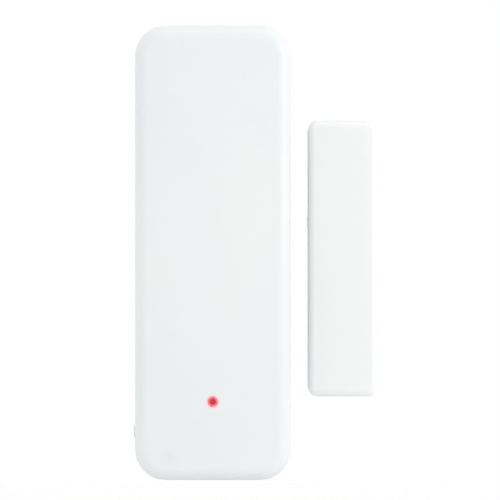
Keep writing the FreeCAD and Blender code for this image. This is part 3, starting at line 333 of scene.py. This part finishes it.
def cell_material(name, node, upright):
    """An alkaline cell: printed jacket with a band, a seam and shrink ripples, and steel ends."""
    s = Shader(name)
    low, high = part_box(node)
    x, y, z = s.axes()
    centre = middle(node)
    length = high[2] - low[2]
    from_base = s.maths("SUBTRACT", z, low[2]) if upright else s.maths("SUBTRACT", high[2], z)
    along = s.maths("DIVIDE", from_base, length)
    dx = s.maths("SUBTRACT", x, centre.x)
    dy = s.maths("SUBTRACT", y, centre.y)
    out = s.length_of(dx, dy)
    ink = s.spread(s.noise(0.5 * MM, 3.0), 0.3, 0.7)
    body = s.blend(ink, (0.025, 0.055, 0.12), (0.035, 0.07, 0.15))
    silver = s.blend(ink, (0.55, 0.57, 0.58), (0.62, 0.63, 0.64))
    jacket = s.blend(s.spread(along, 0.715, 0.718), body, silver)
    band = s.maths("MULTIPLY", s.spread(along, 0.680, 0.683), s.spread(along, 0.704, 0.701))
    jacket = s.blend(band, jacket, (0.75, 0.32, 0.05))
    # polarity signs near both ends, facing the base plate
    long_arm, short_arm = (1.7 * MM, 1.6 * MM), (0.42 * MM, 0.38 * MM)
    turn = s.maths("ABSOLUTE", dx)
    rise = s.maths("ABSOLUTE", s.maths("MULTIPLY", s.maths("SUBTRACT", along, 0.84), length))
    wide = s.maths("MULTIPLY", s.spread(turn, *long_arm), s.spread(rise, *short_arm))
    tall = s.maths("MULTIPLY", s.spread(turn, *short_arm), s.spread(rise, *long_arm))
    seen = s.spread(dy, 2.0 * MM, 2.4 * MM)
    plus = s.maths("MULTIPLY", s.maths("MAXIMUM", wide, tall), seen)
    jacket = s.blend(plus, jacket, (0.03, 0.06, 0.13))
    drop = s.maths("ABSOLUTE", s.maths("MULTIPLY", s.maths("SUBTRACT", along, 0.09), length))
    bar = s.maths("MULTIPLY", s.spread(turn, *long_arm), s.spread(drop, *short_arm))
    jacket = s.blend(s.maths("MULTIPLY", bar, seen), jacket, silver)
    end = s.maths("MAXIMUM", s.spread(along, 0.9765, 0.9775), s.spread(along, 0.0016, 0.0010))
    inner = s.spread(out, 4.75 * MM, 4.65 * MM)
    steel = s.maths("MULTIPLY", s.maths("MAXIMUM", end, s.spread(along, 0.971, 0.972)), inner)
    steel = s.maths("MAXIMUM", steel, s.maths("MULTIPLY", s.spread(along, 0.008, 0.007), inner))
    steel_tint = s.blend(s.spread(s.noise(0.8 * MM), 0.3, 0.7), (0.62, 0.61, 0.58), (0.72, 0.71, 0.69))
    s.set(Base_Color=s.blend(steel, jacket, steel_tint), Metallic=s.spread(steel, 0.0, 1.0))
    scuff = s.noise(0.6 * MM, 4.0, 0.7, s.stretched(1.0, 1.0, 0.1))
    s.set(Roughness=s.spread(scuff, 0.35, 0.75, 0.24, 0.42), Coat_Weight=0.35, Coat_Roughness=0.18)
    seam = s.spread(s.maths("ABSOLUTE", dx), 0.16 * MM, 0.10 * MM)
    ripple = s.noise(1.4 * MM, 2.0, 0.5, s.stretched(1.0, 1.0, 0.25))
    s.bump(s.maths("ADD", ripple, s.maths("MULTIPLY", seam, 0.5)), 0.03 * MM, 0.6)
    return s.material


def can_material():
    """The capacitor can: bright aluminium with a dark polarity segment on its top."""
    s, colour = metal("capacitor_aluminium", (0.80, 0.81, 0.82), (0.66, 0.67, 0.69), 0.22,
                      (1.0, 0.1, 1.0))
    x, y, _ = s.axes()
    centre = middle("capacitor_can")
    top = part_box("capacitor_can")[1][1]
    cap = s.spread(y, top - 0.30 * MM, top - 0.25 * MM)
    side = s.spread(x, centre.x + 0.75 * MM, centre.x + 0.85 * MM)
    mark = s.maths("MULTIPLY", cap, side)
    s.set(Base_Color=s.blend(mark, colour, (0.02, 0.02, 0.022)))
    s.set(Metallic=s.spread(mark, 0.0, 1.0, 1.0, 0.0))
    return s.material


def ferrite_material():
    """The bar magnet: dark sintered ferrite, ground on its faces, with pits darkened by painted shade, and
    chipped edges.
    """
    s = Shader("sintered_ferrite")
    grain = s.noise(0.12 * MM, 4.0, 0.7)
    ground = s.noise(0.25 * MM, 2.0, 0.6, s.stretched(1.0, 1.0, 0.05))
    pit = s.spread(s.cells(0.9 * MM), 0.05, 0.16)
    colour = s.blend(s.spread(grain, 0.35, 0.7), (0.018, 0.018, 0.020), (0.060, 0.060, 0.063))
    colour = s.blend(s.spread(ground, 0.35, 0.65, 0.0, 0.5), colour, (0.085, 0.085, 0.088))
    # the pits are painted near black: painted shade in the pits
    colour = s.blend(pit, (0.008, 0.008, 0.008), colour)
    colour = s.blend(s.edge(0.8), colour, (0.20, 0.20, 0.21))
    s.set(Base_Color=colour, Metallic=0.1, Specular_IOR_Level=0.35)
    s.set(Roughness=s.spread(ground, 0.3, 0.7, 0.42, 0.68))
    s.bump(s.maths("ADD", grain, pit), 0.03 * MM, 0.7)
    return s.material


def glass_material():
    """The reed capsule: slightly green glass, thicker and duller at the fused ends."""
    s = Shader("reed_glass")
    low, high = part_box("reed_switch_glass")
    z = s.axes()[2]
    centre = (low[2] + high[2]) / 2
    end = s.spread(s.maths("ABSOLUTE", s.maths("SUBTRACT", z, centre)), 4.6 * MM, 5.4 * MM)
    s.set(Base_Color=s.blend(end, (0.80, 0.95, 0.88), (0.55, 0.80, 0.70)))
    s.set(Transmission_Weight=0.92, IOR=1.47)
    s.set(Roughness=s.spread(end, 0.0, 1.0, 0.03, 0.22))
    s.bump(s.noise(1.1 * MM, 1.0), 0.02 * MM, 0.5)
    return s.material


# ---------------------------------------------------------------- boards and components


def board_material(name, mask, mask_dark, pitch, pad_size):
    """Solder mask over copper: tracks as raised lines, tinned pads and a bare glass-fibre edge."""
    s = Shader(name)
    x, _, z = s.axes()
    warp = s.noise(6 * MM, 0.0)

    def lanes(position, jogs):
        jog = s.maths("MULTIPLY", s.maths("ROUND", s.maths("MULTIPLY", warp, jogs)), pitch / 3)
        return s.maths("PINGPONG", s.maths("ADD", position, jog), pitch / 2)

    lane_x = lanes(x, 6.0)
    lane_z = lanes(z, 5.0)
    choose = s.spread(s.noise(5 * MM, 0.0), 0.495, 0.505)
    other = s.maths("SUBTRACT", 1.0, choose)
    lane = s.maths("ADD", s.maths("MULTIPLY", lane_x, choose), s.maths("MULTIPLY", lane_z, other))
    track = s.spread(lane, 0.16 * MM, 0.11 * MM)
    vias = s.cells(3.1 * MM)
    ring = s.spread(vias, pad_size, pad_size - 0.02)
    hole = s.spread(vias, pad_size * 0.45, pad_size * 0.4)
    face = s.maths("ABSOLUTE", s.axes(s.new("ShaderNodeNewGeometry").outputs["Normal"])[1])
    flat = s.spread(face, 0.4, 0.6)
    colour = s.blend(track, mask_dark, mask)
    colour = s.blend(ring, colour, (0.72, 0.70, 0.66))
    # via holes painted near black: painted shade inside the holes
    colour = s.blend(hole, colour, (0.02, 0.03, 0.025))
    colour = s.blend(flat, (0.42, 0.40, 0.24), colour)
    s.set(Base_Color=colour, Metallic=s.maths("MULTIPLY", ring, flat))
    s.set(Roughness=s.spread(s.noise(2.5 * MM, 3.0), 0.3, 0.7, 0.24, 0.4))
    s.set(Coat_Weight=0.3, Coat_Roughness=0.15)
    s.bump(s.maths("ADD", track, s.maths("MULTIPLY", ring, 0.8)), 0.03 * MM, 0.7)
    return s.material


def passive_material(name, node, body, body_dark):
    """A chip resistor or capacitor: a fired body with tinned wraps at both ends."""
    s = Shader(name)
    low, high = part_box(node)
    off = s.maths("ABSOLUTE", s.maths("SUBTRACT", s.axes()[0], (low[0] + high[0]) / 2))
    wrap = s.spread(off, 0.50 * MM, 0.54 * MM)
    grain = s.noise(0.1 * MM, 3.0)
    fired = s.blend(s.spread(grain, 0.3, 0.7), body_dark, body)
    s.set(Base_Color=s.blend(wrap, fired, (0.74, 0.73, 0.71)))
    s.set(Metallic=wrap, Roughness=s.spread(grain, 0.3, 0.7, 0.28, 0.5))
    s.bump(grain, 0.008 * MM, 0.6)
    return s.material


def solder_material():
    """Solder: bright, slightly pooled and grainy as it freezes."""
    s = Shader("solder")
    grain = s.noise(0.12 * MM, 4.0, 0.6)
    s.set(Base_Color=s.blend(s.spread(grain, 0.3, 0.7), (0.60, 0.60, 0.60), (0.78, 0.78, 0.77)))
    s.set(Metallic=1.0)
    s.set(Roughness=s.spread(grain, 0.3, 0.7, 0.18, 0.34))
    s.bump(grain, 0.01 * MM, 0.5)
    return s.material


# ---------------------------------------------------------------- give each CAD node its material

# name: tint, dulled tint, roughness, direction of the drawn lines, their width
METALS = {
    "nickel_plated_steel": ((0.66, 0.64, 0.60), (0.50, 0.48, 0.45), 0.26),
    "tinned_wire": ((0.70, 0.70, 0.69), (0.52, 0.52, 0.52), 0.3, (1.0, 1.0, 0.06), 0.08 * MM),
    "zinc_plated_screw": ((0.68, 0.69, 0.71), (0.50, 0.51, 0.54), 0.3, (1.0, 0.2, 1.0)),
    "tinned_shield": ((0.72, 0.72, 0.72), (0.60, 0.60, 0.61), 0.3, (0.06, 1.0, 1.0), 0.2 * MM),
    "gold_plated_copper": ((0.90, 0.66, 0.30), (0.72, 0.48, 0.2), 0.25),
    "crystal_can": ((0.70, 0.70, 0.70), (0.58, 0.58, 0.58), 0.24, (0.1, 1.0, 1.0)),
}
metals = {name: metal(name, *look)[0].material for name, look in METALS.items()}
nickel = metals["nickel_plated_steel"]
tinned = metals["tinned_wire"]
shell_white = shell_material()
base_white = base_material()
# the cap's white is set lighter than the shell's same plastic as painted light, so the magnet unit reads
# brighter
cap_painted_light_shader, _ = moulded_white("moulded_white_cap_painted_light", (0.780, 0.785, 0.785), (0.770, 0.780, 0.783))
foam = foam_material()
switch_black = black_plastic("switch_nylon", rough=0.45)[0].material
footing_black = black_plastic("capacitor_footing", rough=0.5)[0].material
regulator_black = black_plastic("regulator_epoxy")[0].material
core_grey = black_plastic("inductor_ferrite", 0.25 * MM, 0.6, (0.05, 0.05, 0.052))[0].material
plunger_tan = black_plastic("plunger_nylon", 0.2 * MM, 0.4, (0.22, 0.15, 0.08))[0].material

FINISHES = {
    "front_shell": shell_white,
    "magnet_cap": cap_painted_light_shader.material,
    "base_plate": base_white,
    "base_snap_hooks": base_white,
    "magnet_base_plate": base_white,
    "magnet_snap_hooks": base_white,
    "adhesive_pad": foam,
    "magnet_adhesive_pad": foam,
    "reset_button_cap": button_painted_shade_material(),
    "light_pipe": pipe_material(),
    "status_led": led_material(),
    "battery_frame": holder_material(),
    "battery_left": cell_material("cell_jacket_left", "battery_left", True),
    "battery_right": cell_material("cell_jacket_right", "battery_right", False),
    "link_contact": nickel,
    "positive_contact": nickel,
    "negative_contact": nickel,
    "link_spring": nickel,
    "negative_spring": nickel,
    "tact_switch_frame": nickel,
    "tact_switch_body": switch_black,
    "tact_switch_plunger": plunger_tan,
    "board_screws": metals["zinc_plated_screw"],
    "main_board": board_material("main_board_mask", (0.02, 0.20, 0.07), (0.012, 0.13, 0.045),
                                 1.3 * MM, 0.13),
    "radio_module_board": board_material("module_board_mask", (0.02, 0.05, 0.16), (0.012, 0.03, 0.10),
                                         0.9 * MM, 0.09),
    "radio_shield": metals["tinned_shield"],
    "radio_chip": chip_material("radio_chip_epoxy", "radio_chip", 5.0 * MM),
    "radio_antenna": metals["gold_plated_copper"],
    "capacitor_base": footing_black,
    "capacitor_can": can_material(),
    "reed_switch_glass": glass_material(),
    "reed_lead_lower": tinned,
    "reed_lead_upper": tinned,
    "reed_moving_blade": tinned,
    "controller_chip": chip_material("controller_chip_epoxy", "controller_chip", 5.0 * MM),
    "crystal": metals["crystal_can"],
    "inductor": core_grey,
    "regulator": regulator_black,
    "resistors": passive_material("chip_resistor", "resistors",
                                  (0.02, 0.02, 0.025), (0.012, 0.012, 0.014)),
    "small_capacitors": passive_material("chip_capacitor", "small_capacitors",
                                         (0.42, 0.28, 0.15), (0.32, 0.2, 0.1)),
    "bar_magnet": ferrite_material(),
}
for node, material in FINISHES.items():
    for holder in NODES[node].material_slots:
        holder.material = material

# ---------------------------------------------------------------- foam pads

PAD_SEED = 7
# the deepest pit in a pad's cut edge, as a share of its distance from the centre
PAD_ROUGHNESS = 0.008


def rounded_outline(half_wide, half_high, corner, steps=12):
    """Points round a rounded rectangle about the origin, counter-clockwise."""
    points = []
    for quadrant in range(4):
        sx = 1 if quadrant in (0, 3) else -1
        sz = 1 if quadrant < 2 else -1
        for step in range(steps + 1):
            angle = (quadrant + step / steps) * math.pi / 2
            points.append((sx * (half_wide - corner) + corner * math.cos(angle),
                           sz * (half_high - corner) + corner * math.sin(angle)))
    return points


def foam_pad(name, node, body):
    """A die-cut foam pad: adhesive films on both faces and a waisted, cell-pitted core between them."""
    low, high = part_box(node)
    centre = middle(node)
    half_wide, half_high, thick = (high[0] - low[0]) / 2, (high[2] - low[2]) / 2, high[1] - low[1]
    film = 0.07 * MM
    step = 0.02 * MM
    crease = 0.10 * MM
    waist = 0.22 * MM
    corner = 2.0 * MM
    # (distance from the wall, how far the edge is drawn in)
    skin = [(0.0, 0.14 * MM), (step, 0.05 * MM), (film, step), (film + step, crease)]
    core = thick - 2 * film
    profile = list(skin)
    for share in (0.2, 0.35, 0.5, 0.65, 0.8):
        profile.append((film + core * share, crease + waist * math.sin(share * math.pi)))
    profile += [(thick - depth, inset) for depth, inset in reversed(skin)]
    random.seed(PAD_SEED)
    mesh = bmesh.new()
    loops = []
    for depth, inset in profile:
        pitted = film < depth < thick - film
        loop = []
        for x, z in rounded_outline(half_wide - inset, half_high - inset, corner - inset):
            reach = 1.0 - (random.uniform(0.0, PAD_ROUGHNESS) if pitted else 0.0)
            loop.append(mesh.verts.new((centre.x + x * reach, high[1] - depth, centre.z + z * reach)))
        loops.append(loop)
    count = len(loops[0])
    for before, after in zip(loops, loops[1:]):
        for k in range(count):
            mesh.faces.new((before[k], before[(k + 1) % count], after[(k + 1) % count], after[k]))
    mesh.faces.new(loops[0])
    mesh.faces.new(list(reversed(loops[-1])))
    bmesh.ops.recalc_face_normals(mesh, faces=mesh.faces)
    data = bpy.data.meshes.new(name)
    mesh.to_mesh(data)
    mesh.free()
    for face in data.polygons:
        face.use_smooth = len(face.vertices) == 4
    data.materials.append(foam)
    pad = bpy.data.objects.new(name, data)
    bpy.context.scene.collection.objects.link(pad)
    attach(pad, body)
    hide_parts(node)


foam_pad("foam_pad_sensor", "adhesive_pad", "wall_base")
foam_pad("foam_pad_magnet", "magnet_adhesive_pad", "magnet_base")

# ---------------------------------------------------------------- solder joints on the board's back


def solder_dome(mesh, place, radius, height):
    """A solder fillet: a low dome that flares onto its pad, facing the wall."""
    rings, sides = 5, 14
    last = None
    for ring in range(rings):
        share = ring / rings
        spread = radius * (1.0 - share) ** 0.75
        rise = height * math.sin(share * math.pi / 2) ** 1.3
        loop = []
        for k in range(sides):
            angle = 2 * math.pi * k / sides
            around = Vector((spread * math.cos(angle), rise, spread * math.sin(angle)))
            loop.append(mesh.verts.new(place + around))
        if last is None:
            mesh.faces.new(loop)
        else:
            for k in range(sides):
                after = (k + 1) % sides
                mesh.faces.new((last[k], loop[k], loop[after], last[after]))
        last = loop
    tip = mesh.verts.new(place + Vector((0.0, height, 0.0)))
    for k in range(sides):
        mesh.faces.new((last[k], tip, last[(k + 1) % sides]))


def solder_piece(name, places, radius, height):
    """One piece of solder joints at these places, riding with the board."""
    mesh = bmesh.new()
    for place in places:
        solder_dome(mesh, place, radius, height)
    bmesh.ops.recalc_face_normals(mesh, faces=mesh.faces)
    data = bpy.data.meshes.new(name)
    mesh.to_mesh(data)
    mesh.free()
    for face in data.polygons:
        face.use_smooth = True
    data.materials.append(solder)
    piece = bpy.data.objects.new(name, data)
    bpy.context.scene.collection.objects.link(piece)
    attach(piece, "sensor_unit")


solder = solder_material()
board_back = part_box("main_board")[1][1]
module_low, module_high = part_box("radio_module_board")
# the module's half-round edge contacts, which sit off its centre line
NOTCH_SHIFT, NOTCH_PITCH, NOTCH_OUT = -1.0 * MM, 1.5 * MM, 0.1 * MM
first_x = middle("radio_module_board").x + NOTCH_SHIFT
module_edges = (module_low[2] - NOTCH_OUT, module_high[2] + NOTCH_OUT)
castellations = [Vector((first_x + NOTCH_PITCH * step, board_back, edge))
                 for step in range(-3, 4) for edge in module_edges]
solder_piece("module_solder", castellations, 0.42 * MM, 0.35 * MM)
reed_x = middle("reed_lead_upper").x
lead_end = 0.9 * MM
reed_heights = (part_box("reed_lead_lower")[0][2] + lead_end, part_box("reed_lead_upper")[1][2] - lead_end)
reed_ends = [Vector((reed_x, board_back, height)) for height in reed_heights]
solder_piece("reed_solder", reed_ends, 0.85 * MM, 0.42 * MM)

# ---------------------------------------------------------------- floor, light and camera


FLOOR_RADIUS, FLOOR_HEIGHT = 0.17, -0.0425
# name: place, aim, size, power
LIGHTS = {
    "key": ((0.58, -0.27, 0.14), (0.0, -0.01, 0.0), 0.30, 0.95),
    "top": ((0.05, -0.12, 0.60), (0.0, 0.0, 0.0), 0.35, 0.30),
    "fill": ((-0.16, -0.62, 0.05), (0.02, -0.01, 0.0), 0.30, 0.24),
}
PHOTO_CENTRE = Vector((5.81 * MM, 0.0, 0.44 * MM))
PHOTO_WIDTH = 77.9 * MM
LENS, SENSOR = 400.0, 36.0


def soft_floor(radius, height):
    """A pale round floor that fades out at its rim."""
    mesh = bmesh.new()
    bmesh.ops.create_circle(mesh, cap_ends=True, segments=96, radius=radius)
    data = bpy.data.meshes.new("floor")
    mesh.to_mesh(data)
    mesh.free()
    floor = bpy.data.objects.new("floor", data)
    floor.location = (0.006, -0.006, height)
    bpy.context.scene.collection.objects.link(floor)
    s = Shader("pale_floor")
    s.set(Base_Color=s.blend(s.noise(0.03, 2.0), (0.88, 0.88, 0.88), (0.92, 0.92, 0.915)), Roughness=0.7)
    x, y, _ = s.axes()
    s.set(Alpha=s.spread(s.length_of(x, y), radius, radius * 0.35))
    data.materials.append(s.material)


def area_light(name, place, aim, size, power):
    """A round white softbox at a place, turned towards its aim."""
    light = bpy.data.lights.new(name, "AREA")
    light.shape = "DISK"
    light.size = size
    light.energy = power
    lamp = bpy.data.objects.new(name, light)
    lamp.location = place
    lamp.rotation_euler = (Vector(aim) - Vector(place)).to_track_quat("-Z", "Y").to_euler()
    bpy.context.scene.collection.objects.link(lamp)


soft_floor(FLOOR_RADIUS, FLOOR_HEIGHT)
for name, setup in LIGHTS.items():
    area_light(name, *setup)

world = bpy.data.worlds.new("studio")
world.use_nodes = True
world.node_tree.nodes["Background"].inputs["Color"].default_value = (1.0, 1.0, 1.0, 1.0)
world.node_tree.nodes["Background"].inputs["Strength"].default_value = 1.0
bpy.context.scene.world = world
bpy.context.scene.view_settings.view_transform = "Standard"

camera_data = bpy.data.cameras.new("camera")
camera_data.lens = LENS
camera_data.sensor_width = SENSOR
camera_data.clip_start, camera_data.clip_end = 0.01, 20.0
camera = bpy.data.objects.new("camera", camera_data)
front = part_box("front_shell")[0][1]
camera.location = (PHOTO_CENTRE.x, front - PHOTO_WIDTH * LENS / SENSOR, PHOTO_CENTRE.z)
camera.rotation_euler = (math.pi / 2, 0.0, 0.0)
bpy.context.scene.collection.objects.link(camera)
bpy.context.scene.camera = camera
